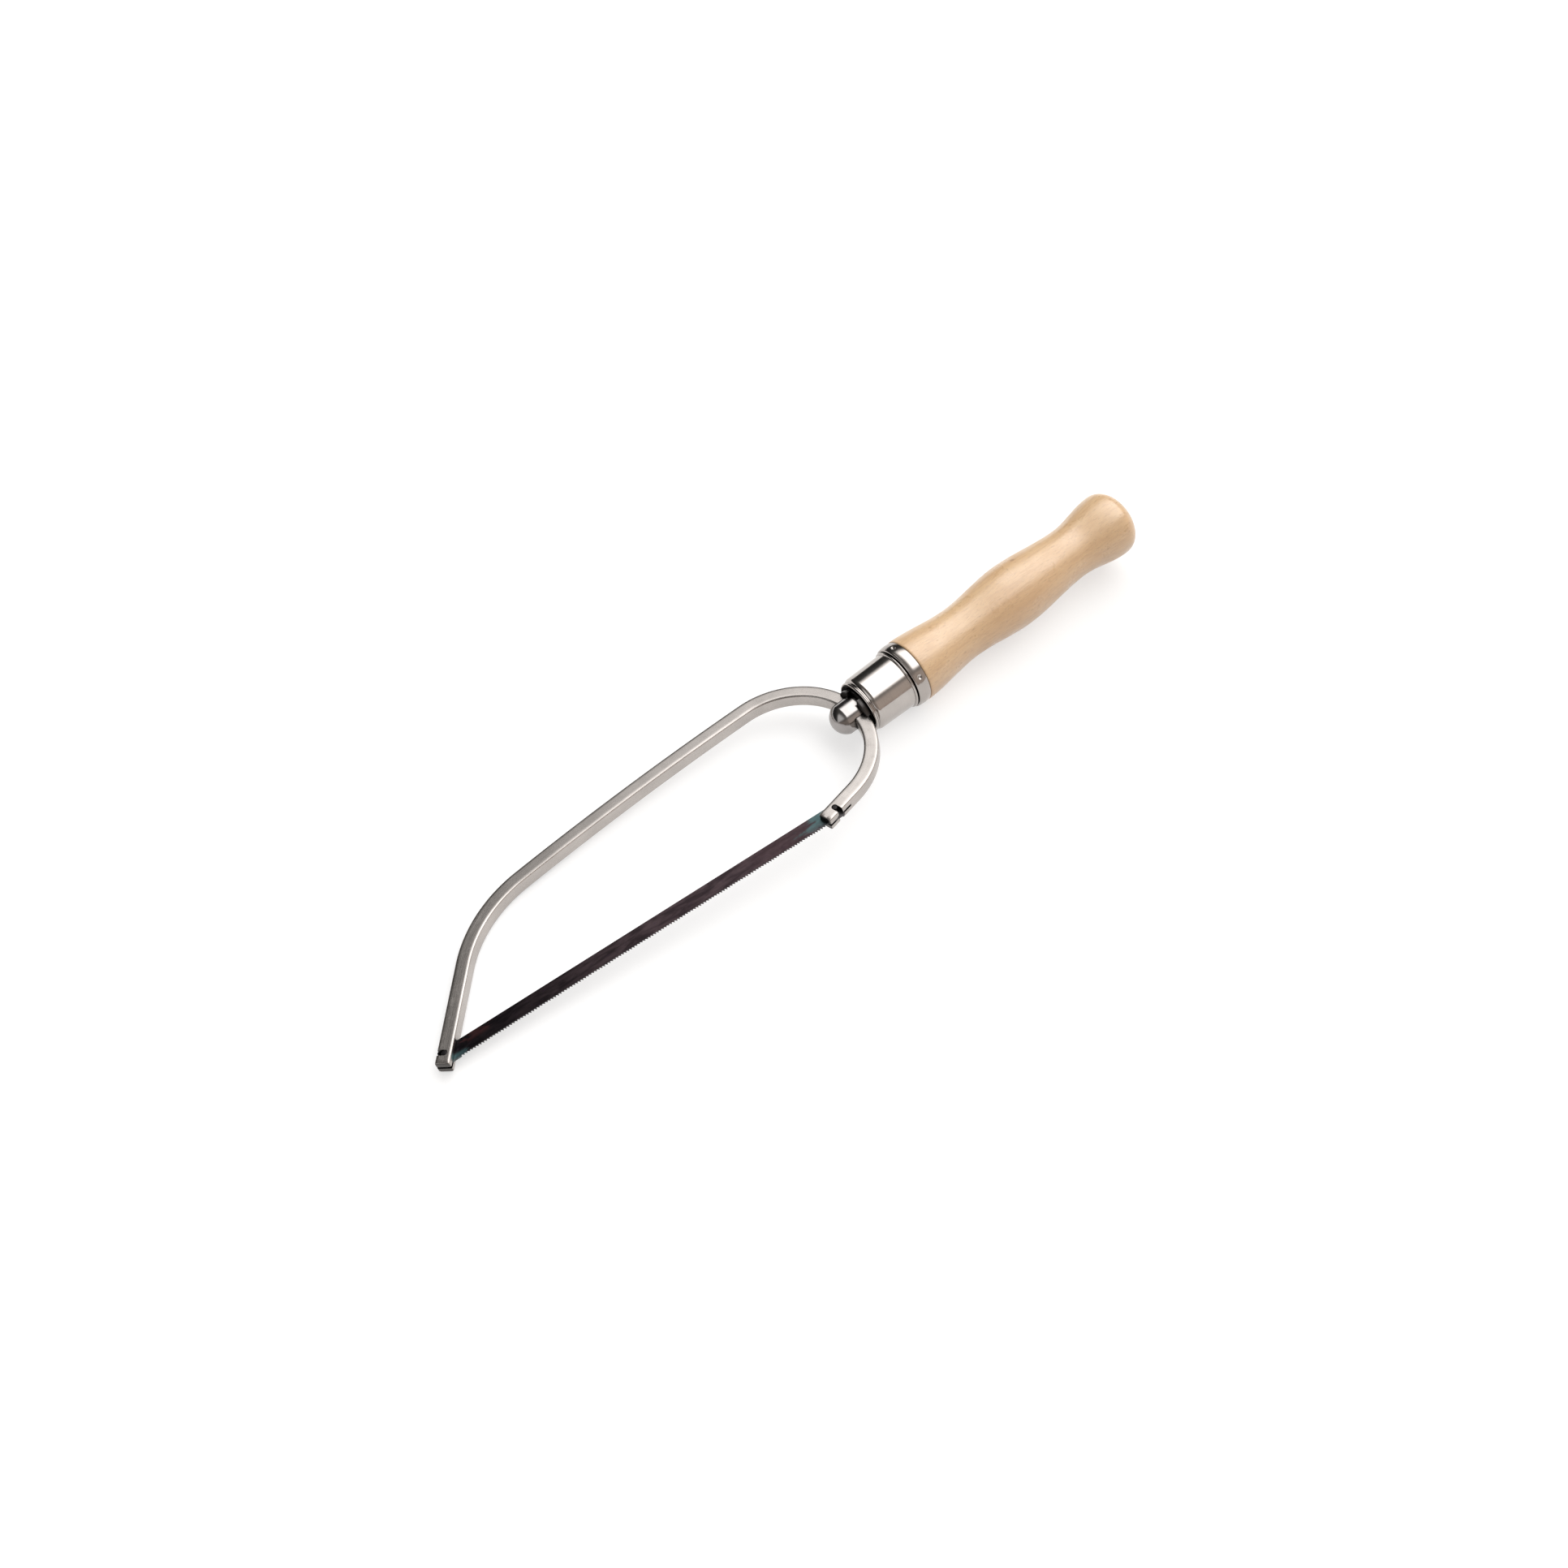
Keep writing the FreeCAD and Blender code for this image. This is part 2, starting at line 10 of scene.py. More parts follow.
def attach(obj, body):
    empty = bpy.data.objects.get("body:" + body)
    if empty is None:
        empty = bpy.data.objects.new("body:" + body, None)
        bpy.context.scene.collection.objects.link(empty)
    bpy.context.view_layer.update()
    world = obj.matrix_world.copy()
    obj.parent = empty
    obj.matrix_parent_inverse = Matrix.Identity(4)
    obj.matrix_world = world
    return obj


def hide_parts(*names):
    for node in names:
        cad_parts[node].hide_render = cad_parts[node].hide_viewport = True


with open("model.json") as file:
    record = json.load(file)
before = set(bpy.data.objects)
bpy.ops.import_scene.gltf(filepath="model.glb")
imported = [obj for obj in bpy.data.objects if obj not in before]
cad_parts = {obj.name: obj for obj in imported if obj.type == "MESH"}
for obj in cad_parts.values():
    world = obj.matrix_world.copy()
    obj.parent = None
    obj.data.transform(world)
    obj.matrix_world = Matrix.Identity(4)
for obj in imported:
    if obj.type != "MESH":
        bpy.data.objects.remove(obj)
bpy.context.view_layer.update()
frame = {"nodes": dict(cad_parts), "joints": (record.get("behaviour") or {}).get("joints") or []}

MM = 0.001                   # a millimetre in the row frame's metres

# The saw's sizes, in millimetres and degrees, as the solids have them.  Pieces are
# shaped in the saw's own plane (X along the blade to the handle, Y to the bow's arm,
# Z across the bow, origin at the front pin) or about the handle's axis, then laid in
# the row frame.

# bow
BAR = 5.0
SQUARENESS = 0.25            # how square the bar is: 1 is round, 0 is sharp
END_EASE = 0.5               # rounding of the bar's ends
END_RINGS = 7                # outlines that draw it
END_FLAT = 8                 # how far round from the flat end the first of them is
LEG_ANGLE = 53.6
FRONT_BEND_RADIUS = 47.5
ARM_RADIUS = 1050.0
ARM_END_ANGLE = 4.2
REAR_BEND_RADIUS = 27.5
REAR_ANGLE = 17.0
REAR_RUN = 9.4
FRONT_END = 4.0
REAR_END = 5.2
FRONT_SLIT = 5.25            # slit past the pin, front and rear
REAR_SLIT = 5.0
PIN_CLEARANCE = 0.1
SLIT_CLEARANCE = 0.15

# blade
PIN_DISTANCE = 146.0
OVERHANG = 2.0
BLADE_WIDTH = 6.0
BLADE_THICKNESS = 0.65
TOOTH_PITCH = 1.0
TOOTH_DEPTH = 0.6
TOOTH_FACE = 0.25            # share of the pitch in front of a tooth's face
TEETH_FROM_PIN = 4.0
TOOTH_SET = 0.13             # sideways wave of the tips
WAVE_TEETH = 9               # teeth in one wave
PIN_RADIUS = 0.9

# clamp and handle, distances along the axis from the centre of the rear bend
HANDLE_ANGLE = 5.75
HEAD_RADIUS = 5.6
HEAD_TIP = 18.41
HEAD_DOME = 4.0
HEAD_BACK = 31.2
EYE = (24.31, 30.2)          # front, back
EYE_HALF = 2.65
THREAD_RADIUS = 4.0
THREAD_PITCH = 1.25
THREAD_DEPTH = 0.7
THREAD_END = 69.2
CROWN = (27.99, 29.59, 31.4, 34.0)    # front, notch floor, base, back
CROWN_RADIUS = 7.8
CROWN_BORE = 5.8
SLEEVE = (29.8, 47.3)        # front, back
SLEEVE_RADII = (10.25, 10.5) # behind the shoulder, before the bead
SLEEVE_BORE = 9.05
BEAD_RADIUS = 11.1
FERRULE = (47.6, 52.4)       # front, back
FERRULE_RADIUS = 11.9
BARREL = 0.22                # how far the ferrule's side rounds in at its ends
HANDLE_END = 152.9
# the wood's outline: distance behind the ferrule, radius
WOOD = ((0.0, 11.9), (23.6, 9.85), (47.5, 11.8), (75.1, 9.65), (93.0, 12.1))
KNOT = (0.10483, 0.00546, 0.02525)    # small brown fleck on the grip: metres, row frame
AXIS_GAP = 0.02              # radius where a turned piece's closed end stops


# ---- where the saw lies ---------------------------------------------------------------

def direction(degrees):
    """Unit vector in the saw's plane."""
    a = math.radians(degrees)
    return np.array([math.cos(a), math.sin(a), 0.0])


ACROSS = np.array([0.0, 0.0, 1.0])
LEG = direction(LEG_ANGLE)
LEG_OUT = direction(LEG_ANGLE + 90)
REAR = direction(REAR_ANGLE)
REAR_OUT = direction(REAR_ANGLE - 90)
REAR_PIN = np.array([PIN_DISTANCE, 0.0, 0.0])
BEND_CENTRE = REAR_PIN + REAR * REAR_RUN - REAR_OUT * REAR_BEND_RADIUS
ARM_CENTRE = BEND_CENTRE - direction(ARM_END_ANGLE + 90) * (ARM_RADIUS - REAR_BEND_RADIUS)


def front_bend_centre():
    """Centre of the bend that meets both the leg and the arm's arc smoothly."""
    start = -LEG_OUT * FRONT_BEND_RADIUS
    offset = start - ARM_CENTRE
    half_b = offset @ LEG
    c = offset @ offset - (ARM_RADIUS - FRONT_BEND_RADIUS) ** 2
    return start + LEG * (math.sqrt(half_b * half_b - c) - half_b)


FRONT_CENTRE = front_bend_centre()
to_front = FRONT_CENTRE - ARM_CENTRE
ARM_START = math.degrees(math.atan2(to_front[1], to_front[0]))


def bow_line():
    """(centre, outward normal) along the middle of the bar, front end first."""
    stations = []

    def straight(start, heading, normal, length, count):
        for i in range(count):
            stations.append((start + heading * (length * i / count), normal))

    def bend(centre, radius, start, end, step):
        count = max(2, round(abs(end - start) / step))
        for i in range(count):
            normal = direction(start + (end - start) * i / count)
            stations.append((centre + normal * radius, normal))

    leg_end = FRONT_CENTRE + LEG_OUT * FRONT_BEND_RADIUS
    straight(-LEG * FRONT_END, LEG, LEG_OUT, np.linalg.norm(leg_end) + FRONT_END, 24)
    bend(FRONT_CENTRE, FRONT_BEND_RADIUS, LEG_ANGLE + 90, ARM_START, 1.0)
    bend(ARM_CENTRE, ARM_RADIUS, ARM_START, ARM_END_ANGLE + 90, 0.1)
    bend(BEND_CENTRE, REAR_BEND_RADIUS, ARM_END_ANGLE + 90, REAR_ANGLE - 90, 1.5)
    bend_end = BEND_CENTRE + REAR_OUT * REAR_BEND_RADIUS
    straight(bend_end, -REAR, REAR_OUT, REAR_RUN + REAR_END, 8)
    stations.append((REAR_PIN - REAR * REAR_END, REAR_OUT))
    return stations


def bow_length():
    """Length of the bar's middle line."""
    middles = [centre for centre, _ in bow_line()]
    return float(sum(np.linalg.norm(b - a) for a, b in zip(middles, middles[1:])))


# where the frame's joints put the saw's plane (SAW) and the handle's axis (HANDLE)
joints = {j["name"]: j for j in frame["joints"]}
up = Vector(joints["bow_swing"]["axis"]).normalized()
axis = Vector(joints["handle_turn"]["axis"]).normalized()
along = Matrix.Rotation(-math.radians(HANDLE_ANGLE), 3, up) @ axis
TURN = Matrix((along, up.cross(along), up)).transposed()
ORIGIN = Vector(joints["bow_swing"]["pos_m"]) - TURN @ Vector(BEND_CENTRE) * MM
SAW = Matrix.Translation(ORIGIN) @ TURN.to_4x4() @ Matrix.Scale(MM, 4)
HANDLE = (SAW @ Matrix.Translation(Vector(BEND_CENTRE))
          @ Matrix.Rotation(math.radians(HANDLE_ANGLE), 4, "Z"))


# ---- mesh helpers ---------------------------------------------------------------------

def mesh_object(name, points, faces, uvs=None):
    """Object from points and faces, with one uv pair for each point."""
    mesh = bpy.data.meshes.new(name)
    mesh.from_pydata([tuple(p) for p in points], [], faces)
    if uvs is not None:
        layer = mesh.uv_layers.new(name="uv")
        for loop in mesh.loops:
            layer.data[loop.index].uv = uvs[loop.vertex_index]
    obj = bpy.data.objects.new(name, mesh)
    bpy.context.scene.collection.objects.link(obj)
    return obj


def cut(obj, cutters):
    """Take the cutters away from the object, and drop them."""
    for cutter in cutters:
        step = obj.modifiers.new("cut", "BOOLEAN")
        step.object = cutter
        step.operation = "DIFFERENCE"
        step.solver = "EXACT"
    bpy.context.view_layer.update()
    shown = obj.evaluated_get(bpy.context.evaluated_depsgraph_get())
    mesh = bpy.data.meshes.new_from_object(shown)
    obj.modifiers.clear()
    obj.data = mesh
    for cutter in cutters:
        bpy.data.objects.remove(cutter)
    return obj


def place(obj, matrix, body, nodes, material, sharp=32):
    """Lay a piece in the row frame, shade it, and let it ride on its body."""
    obj.data.transform(matrix)
    obj.data.materials.clear()
    obj.data.materials.append(material)
    for face in obj.data.polygons:
        face.use_smooth = True
    obj.data.set_sharp_from_angle(angle=math.radians(sharp))
    even = obj.modifiers.new("even shading", "WEIGHTED_NORMAL")
    even.keep_sharp = True
    even.weight = 80
    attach(obj, body)
    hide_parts(*nodes)
    return obj


def shade_cad_mesh(name, material):
    """Give its material to a node that stays as the solids have it."""
    slots = frame["nodes"][name].data.materials
    slots.clear()
    slots.append(material)


def block(low, high, matrix=Matrix()):
    """Box between two corners."""
    corners = [(x, y, z) for x in (low[0], high[0]) for y in (low[1], high[1])
               for z in (low[2], high[2])]
    faces = [(0, 1, 3, 2), (4, 6, 7, 5), (0, 4, 5, 1), (2, 3, 7, 6), (0, 2, 6, 4), (1, 5, 7, 3)]
    obj = mesh_object("block", corners, faces)
    obj.data.transform(matrix)
    return obj


def rod(radius, low, high, matrix=Matrix(), count=64):
    """Cylinder along Z."""
    turn = [2 * math.pi * i / count for i in range(count)]
    points = [(radius * math.cos(t), radius * math.sin(t), z) for z in (low, high) for t in turn]
    faces = [(i, (i + 1) % count, count + (i + 1) % count, count + i) for i in range(count)]
    faces += [tuple(reversed(range(count))), tuple(range(count, 2 * count))]
    obj = mesh_object("rod", points, faces)
    obj.data.transform(matrix)
    return obj


def arc_points(centre, radius, start, end, count=8):
    """(distance, radius) points on an arc; angles turn from the axis outwards."""
    return [(centre[0] + radius * math.cos(math.radians(start + (end - start) * i / count)),
             centre[1] + radius * math.sin(math.radians(start + (end - start) * i / count)))
            for i in range(count + 1)]


def lathe(name, profile, count=192, closed=True, shift=None):
    """Turn a (distance, radius) profile about X.  shift(x, angle) moves points outwards.
    A closed profile goes round a ring; an open one gets a disc at each end."""
    turn = [2 * math.pi * i / count for i in range(count)]
    points, uvs, length = [], [], 0.0
    for k, (x, r) in enumerate(profile):
        if k:
            length += math.hypot(x - profile[k - 1][0], r - profile[k - 1][1])
        for t in turn:
            out = r + (shift(x, t) if shift else 0.0)
            points.append((x, out * math.cos(t), out * math.sin(t)))
            uvs.append((length, t * max(r, 1.0)))
    rows = len(profile)
    faces = []
    for k in range(rows if closed else rows - 1):
        a, b = k * count, ((k + 1) % rows) * count
        faces += [(a + i, b + i, b + (i + 1) % count, a + (i + 1) % count) for i in range(count)]
    if not closed:
        faces.append(tuple(reversed(range(count))))
        faces.append(tuple(range((rows - 1) * count, rows * count)))
    obj = mesh_object(name, points, faces, uvs)
    tidy(obj)
    return obj


def tidy(obj, join=True):
    """Join doubled points and point every face outwards."""
    bm = bmesh.new()
    bm.from_mesh(obj.data)
    if join:
        bmesh.ops.remove_doubles(bm, verts=bm.verts, dist=1e-5)
    bmesh.ops.recalc_face_normals(bm, faces=bm.faces)
    bm.to_mesh(obj.data)
    bm.free()


# ---- node helpers ---------------------------------------------------------------------

class Nodes:
    """Short way to write a node tree."""

    def __init__(self, tree):
        self.tree = tree
        tree.nodes.clear()

    def add(self, kind, inputs=None, **settings):
        node = self.tree.nodes.new(kind)
        for key, value in settings.items():
            setattr(node, key, value)
        for key, value in (inputs or {}).items():
            self.put(node.inputs[key], value)
        return node

    def put(self, socket, value):
        if isinstance(value, bpy.types.NodeSocket):
            self.tree.links.new(value, socket)
        elif socket.type == "RGBA" and len(value) == 3:
            socket.default_value = (*value, 1.0)
        else:
            socket.default_value = value

    def math(self, operation, a, b=0.0, clamp=False):
        node = self.add("ShaderNodeMath", operation=operation, use_clamp=clamp)
        self.put(node.inputs[0], a)
        self.put(node.inputs[1], b)
        return node.outputs[0]

    def product(self, first, *others):
        for other in others:
            first = self.math("MULTIPLY", first, other)
        return first

    def ramp(self, value, low, high, to_low=0.0, to_high=1.0):
        node = self.add("ShaderNodeMapRange", interpolation_type="SMOOTHSTEP")
        for key, v in zip(("Value", "From Min", "From Max", "To Min", "To Max"),
                          (value, low, high, to_low, to_high)):
            self.put(node.inputs[key], v)
        return node.outputs[0]

    def band(self, value, one_edge, other_edge):
        """1 between two soft edges, each given as (where it is 0, where it is 1)."""
        return self.product(self.ramp(value, *one_edge), self.ramp(value, *other_edge))

    def mix(self, share, a, b, blend="MIX"):
        node = self.add("ShaderNodeMix", data_type="RGBA", blend_type=blend)
        self.put(node.inputs[0], share)
        self.put(node.inputs[6], a)
        self.put(node.inputs[7], b)
        return node.outputs[2]

    def tinted(self, colour, tints):
        """Lay (share, colour) tints over a colour, in their order."""
        for share, tint in tints:
            colour = self.mix(share, colour, tint)
        return colour

    def graded(self, colour, tone):
        """A colour made lighter or darker by a tone near 1."""
        grey = self.add("ShaderNodeCombineColor", {0: tone, 1: tone, 2: tone})
        return self.mix(1.0, colour, grey.outputs[0], "MULTIPLY")

    def stretch(self, vector, scale, rotation=(0, 0, 0)):
        node = self.add("ShaderNodeMapping", {
            "Vector": vector, "Scale": scale, "Rotation": rotation})
        return node.outputs[0]

    def noise(self, vector, scale, detail=3.0, roughness=0.55, distortion=0.0):
        node = self.add("ShaderNodeTexNoise", {
            "Vector": vector, "Scale": scale, "Detail": detail, "Roughness": roughness,
            "Distortion": distortion})
        return node.outputs["Fac"]

    def grain(self, vector, scales, detail=3.0, roughness=0.55, distortion=0.0):
        """Noise with a scale of its own along each axis."""
        return self.noise(self.stretch(vector, scales), 1.0, detail, roughness, distortion)

    def bump(self, height, strength, distance, normal=None):
        """Bump from a height; distance is in millimetres."""
        node = self.add("ShaderNodeBump", {
            "Height": height, "Strength": strength, "Distance": distance * MM})
        if normal is not None:
            self.put(node.inputs["Normal"], normal)
        return node.outputs[0]


def new_material(name):
    material = bpy.data.materials.new(name)
    material.use_nodes = True
    n = Nodes(material.node_tree)
    shader = n.add("ShaderNodeBsdfPrincipled")
    out = n.add("ShaderNodeOutputMaterial")
    n.tree.links.new(shader.outputs[0], out.inputs[0])
    coords = n.add("ShaderNodeTexCoord")
    return material, n, shader, coords


def millimetres(n, coords, rotation=(0, 0, 0)):
    return n.stretch(coords.outputs["Object"], (1 / MM, 1 / MM, 1 / MM), rotation)


# ---- materials ------------------------------------------------------------------------

# nickel plate
NICKEL = (0.47, 0.435, 0.41)
# the ferrule's nickel is a slightly darker copy of it: painted shade
FERRULE_SHADED_NICKEL = (0.43, 0.395, 0.37)
# the bolt's nickel is a darker copy of it: painted shade
BOLT_SHADED_NICKEL = (0.36, 0.34, 0.33)
# the crown is nickel like the rest; its near black colour is painted shade
CROWN_SHADED_NICKEL = (0.075, 0.070, 0.068)
PIT_BROWN = (0.20, 0.17, 0.15)
# dark laid over the bar's two end faces
END_FACE_DARK = (0.035, 0.032, 0.030)
END_FACE_REACH = 0.35            # how far the darkening of the bar's end faces reaches along it
# painted shade: near black laid into the nickel's colour in hollows and gaps
HOLLOW_SHADE = (0.020, 0.018, 0.017)
HOLLOW_SHADE_REACH = 2.2            # how near two faces are where painted shade darkens the colour
SCRATCH_DEPTH = 0.0015
ALONG_BAR = (0.05, 5.0, 1)   # brushing in uv: long lines down the bar
ROUND_AXIS = (7.0, 0.03, 1)  # and fine lines round a turned piece

# the blade's temper colours
BLACK = (0.0075, 0.0068, 0.0080)
BROWN_BLACK = (0.042, 0.030, 0.034)
CLOUD_BLACK = (0.020, 0.016, 0.018)
CLOUD_BROWN = (0.088, 0.062, 0.068)
VIOLET = (0.050, 0.030, 0.060)
PURPLE = (0.075, 0.046, 0.052)
TEAL = (0.09, 0.16, 0.165)
STRAW = (0.10, 0.095, 0.095)
FRONT_TEAL = (0.07, 0.13, 0.14)
FRONT_RED = (0.075, 0.030, 0.030)
WORN_TIPS = (0.16, 0.15, 0.15)

# the grip's beech
BEECH_PALE = (0.80, 0.540, 0.295)
BEECH_WARM = (0.75, 0.480, 0.250)
LATE_WOOD = (0.58, 0.325, 0.155)
FIGURE = (0.60, 0.345, 0.165)
RAY_FLECK = (0.46, 0.255, 0.130)
PALE_FLECK = (0.84, 0.68, 0.46)
PORE = (0.38, 0.21, 0.10)
END_GRAIN = (0.50, 0.270, 0.125)
END_GRAIN_X = (149.3, 152.2)     # along the handle, from the row frame's origin
KNOT_BROWN = (0.36, 0.16, 0.075)
KNOT_SIZE = (0.0012, 0.0003)     # metres: where the knot ends, where it is full

# bare steel
PIN_STEEL = (0.035, 0.032, 0.033)
TURNED_STEEL = (0.50, 0.49, 0.48)


def plated(name, colour, rough, grain, grain_depth, smudge, edge=0.12, ends_at=None):
    """Nickel plate.  grain is how the brushing stretches in uv; its depth and the rounding
    of the edges are in millimetres.  ends_at is the bar's length in uv, when its two end
    faces are darkened."""
    material, n, shader, coords = new_material(name)
    mm = millimetres(n, coords)
    lines = n.grain(coords.outputs["UV"], grain, 4.0, 0.65)
    clouds = n.noise(mm, 0.11, 3.0, 0.5)
    tone = n.product(n.ramp(clouds, 0.3, 0.7, 0.94, 1.04), n.ramp(lines, 0.3, 0.7, 0.95, 1.04))
    pits = n.ramp(n.noise(mm, 2.6, 2.0, 0.5), 0.70, 0.78)
    tints = [(n.product(pits, 0.25), PIT_BROWN)]
    if ends_at:
        # the bar's two end faces are darkened
        u = n.add("ShaderNodeSeparateXYZ", {0: coords.outputs["UV"]}).outputs[0]
        ends = n.math("MAXIMUM", n.ramp(u, END_FACE_REACH, 0.02),
                      n.ramp(u, ends_at - END_FACE_REACH, ends_at - 0.02))
        tints.append((n.product(ends, 0.88), END_FACE_DARK))
    # painted shade: ambient occlusion darkens the colour in notches, slits and gaps between parts
    shade_in_hollows = n.add("ShaderNodeAmbientOcclusion", {"Distance": HOLLOW_SHADE_REACH * MM}, samples=6)
    tints.append((n.ramp(shade_in_hollows.outputs["AO"], 0.80, 0.30, 0.0, 0.93), HOLLOW_SHADE))
    n.put(shader.inputs["Base Color"], n.tinted(n.graded(colour, tone), tints))
    shader.inputs["Metallic"].default_value = 1.0

    wear = n.ramp(n.noise(mm, 0.35, 4.0, 0.6), 0.45, 0.75, 0.0, smudge)
    brushed = n.ramp(lines, 0.25, 0.75, -0.25 * rough, 0.35 * rough)
    n.put(shader.inputs["Roughness"], n.math("ADD", n.math("ADD", wear, rough), brushed))

    soft = n.add("ShaderNodeBevel", {"Radius": edge * MM}, samples=4).outputs[0]
    fine = n.bump(lines, 1.0, grain_depth, soft)
    scratch = n.noise(n.stretch(mm, (0.4, 7.0, 7.0), (0.3, 0.5, 0.9)), 1.0, 2.0, 0.5)
    fine = n.bump(n.ramp(scratch, 0.62, 0.68), 0.25, SCRATCH_DEPTH, fine)
    n.put(shader.inputs["Normal"], fine)
    return material


def blued_steel():
    """Hardened blade: near black, purple and brown clouds, straw and teal near the ends."""
    material, n, shader, coords = new_material("blued_blade")
    uv = coords.outputs["UV"]
    x, y, _ = n.add("ShaderNodeSeparateXYZ", {0: uv}).outputs
    drift = n.ramp(n.grain(uv, (0.16, 0.5, 1), 3.0, 0.6), 0.25, 0.75, -5.0, 5.0)
    at = n.math("ADD", x, drift)
    clouds = n.grain(uv, (0.11, 0.45, 1), 4.0, 0.62, 0.5)
    patch = n.grain(uv, (0.35, 1.1, 1), 3.0, 0.55)
    dark = n.mix(n.ramp(at, 2, 95), BLACK, BROWN_BLACK)
    pale = n.mix(n.ramp(at, 10, 80), CLOUD_BLACK, CLOUD_BROWN)
    colour = n.tinted(n.mix(n.ramp(clouds, 0.36, 0.66), dark, pale), [
        (n.ramp(patch, 0.60, 0.76, 0.0, 0.45), VIOLET),
        (n.product(n.band(at, (108, 121), (138, 133)), 0.50), PURPLE),
        (n.product(n.band(at, (132, 138), (147, 142)), 0.85, n.ramp(y, -2.6, 0.2, 0.35, 1.0)), TEAL),
        (n.product(n.ramp(at, 142, 146), 0.85), STRAW),
        (n.product(n.band(at, (9, 5), (-3, 1)), 0.8, n.ramp(y, -0.6, -2.0)), FRONT_TEAL),
        (n.product(n.band(at, (17, 12), (6, 10)), 0.6, n.ramp(y, -0.5, 1.2)), FRONT_RED),
        (n.ramp(y, -2.35, -2.9, 0.0, 0.35), WORN_TIPS),
    ])
    n.put(shader.inputs["Base Color"], colour)
    shader.inputs["Metallic"].default_value = 1.0

    lines = n.grain(uv, (0.5, 14.0, 1), 4.0, 0.6)
    rough = n.ramp(n.grain(uv, (0.8, 1.2, 1), 3.0, 0.6), 0.3, 0.7, 0.34, 0.50)
    n.put(shader.inputs["Roughness"], n.math("ADD", rough, n.ramp(lines, 0.3, 0.7, -0.05, 0.07)))
    n.put(shader.inputs["Normal"], n.bump(lines, 0.8, 0.004))
    return material


def beech():
    """Clear-lacquered beech, with rays, pores, growth bands and end grain."""
    material, n, shader, coords = new_material("beech_lacquered")
    lean = math.asin(max(-1.0, min(1.0, axis.z)))
    mm = millimetres(n, coords, (0, lean, 0))       # X along the handle, so the grain is too
    x, y, z = n.add("ShaderNodeSeparateXYZ", {0: mm}).outputs
    sway = n.grain(mm, (0.02, 0.05, 0.05), 2.0, 0.5)
    side = n.math("ADD", n.product(y, 0.55), n.product(z, 0.83))
    depth = n.math("ADD", side, n.product(n.math("SUBTRACT", sway, 0.5), 9.0))
    year = n.math("FRACT", n.product(depth, 0.31))
    broad = n.grain(mm, (0.018, 0.10, 0.10), 3.0, 0.5)
    figure = n.grain(mm, (0.13, 1.1, 1.1), 4.0, 0.62)
    rays = n.grain(mm, (0.42, 3.4, 3.4), 2.0, 0.55)
    pale = n.grain(mm, (0.6, 4.6, 4.6), 2.0, 0.5)
    pore = n.ramp(n.grain(mm, (1.6, 11.0, 11.0), 2.0, 0.6), 0.62, 0.70)
    from_knot = n.add("ShaderNodeVectorMath", {0: coords.outputs["Object"], 1: KNOT},
                      operation="DISTANCE").outputs["Value"]
    colour = n.tinted(n.mix(n.ramp(broad, 0.3, 0.7), BEECH_PALE, BEECH_WARM), [
        (n.product(n.band(year, (0.25, 0.86), (1.0, 0.88)), 0.09), LATE_WOOD),
        (n.ramp(figure, 0.42, 0.68, 0.0, 0.42), FIGURE),
        (n.product(n.ramp(rays, 0.58, 0.70), 0.55), RAY_FLECK),
        (n.ramp(pale, 0.58, 0.74, 0.0, 0.38), PALE_FLECK),
        (n.product(pore, 0.30), PORE),
        (n.ramp(x, *END_GRAIN_X, 0.0, 0.42), END_GRAIN),
        (n.ramp(from_knot, *KNOT_SIZE, 0.0, 0.6), KNOT_BROWN),
    ])
    n.put(shader.inputs["Base Color"], colour)
    wear = n.noise(mm, 0.12, 3.0, 0.6)
    n.put(shader.inputs["Roughness"], n.ramp(wear, 0.3, 0.7, 0.42, 0.56))
    shader.inputs["IOR"].default_value = 1.5
    shader.inputs["Coat Weight"].default_value = 1.0
    shader.inputs["Coat IOR"].default_value = 1.75
    n.put(shader.inputs["Coat Roughness"], n.ramp(wear, 0.3, 0.7, 0.26, 0.40))

    turning = n.grain(mm, (5.0, 0.02, 0.02), 2.0, 0.5)
    normal = n.bump(turning, 0.5, 0.010)
    normal = n.bump(n.math("SUBTRACT", 1.0, pore), 0.6, 0.012, normal)
    normal = n.bump(n.noise(mm, 0.5, 2.0, 0.5), 0.4, 0.03, normal)
    n.put(shader.inputs["Normal"], normal)
    n.put(shader.inputs["Coat Normal"], n.bump(turning, 0.3, 0.006))
    return material


def bare_steel(name, colour, rough):
    """Turned or drawn steel without plate."""
    material, n, shader, coords = new_material(name)
    mm = millimetres(n, coords)
    rings = n.grain(mm, (9.0, 0.3, 0.3), 3.0, 0.6)
    tone = n.ramp(n.noise(mm, 0.6, 3.0, 0.6), 0.3, 0.7, 0.85, 1.08)
    n.put(shader.inputs["Base Color"], n.graded(colour, tone))
    shader.inputs["Metallic"].default_value = 1.0
    n.put(shader.inputs["Roughness"], n.ramp(rings, 0.3, 0.7, rough * 0.8, rough * 1.25))
    n.put(shader.inputs["Normal"], n.bump(rings, 0.6, 0.003))
    return material


bow_plate = plated("bow_nickel", NICKEL, rough=0.24, grain=ALONG_BAR, grain_depth=0.0035,
                   smudge=0.07, edge=0.20, ends_at=bow_length())
sleeve_plate = plated("sleeve_nickel", NICKEL, rough=0.10, grain=ROUND_AXIS,
                      grain_depth=0.0006, smudge=0.05, edge=0.15)
# bolt: nickel darkened as painted shade
bolt_shaded_plate = plated("bolt_nickel_painted_shade", BOLT_SHADED_NICKEL, rough=0.13, grain=ROUND_AXIS,
                    grain_depth=0.0006, smudge=0.05, edge=0.2)
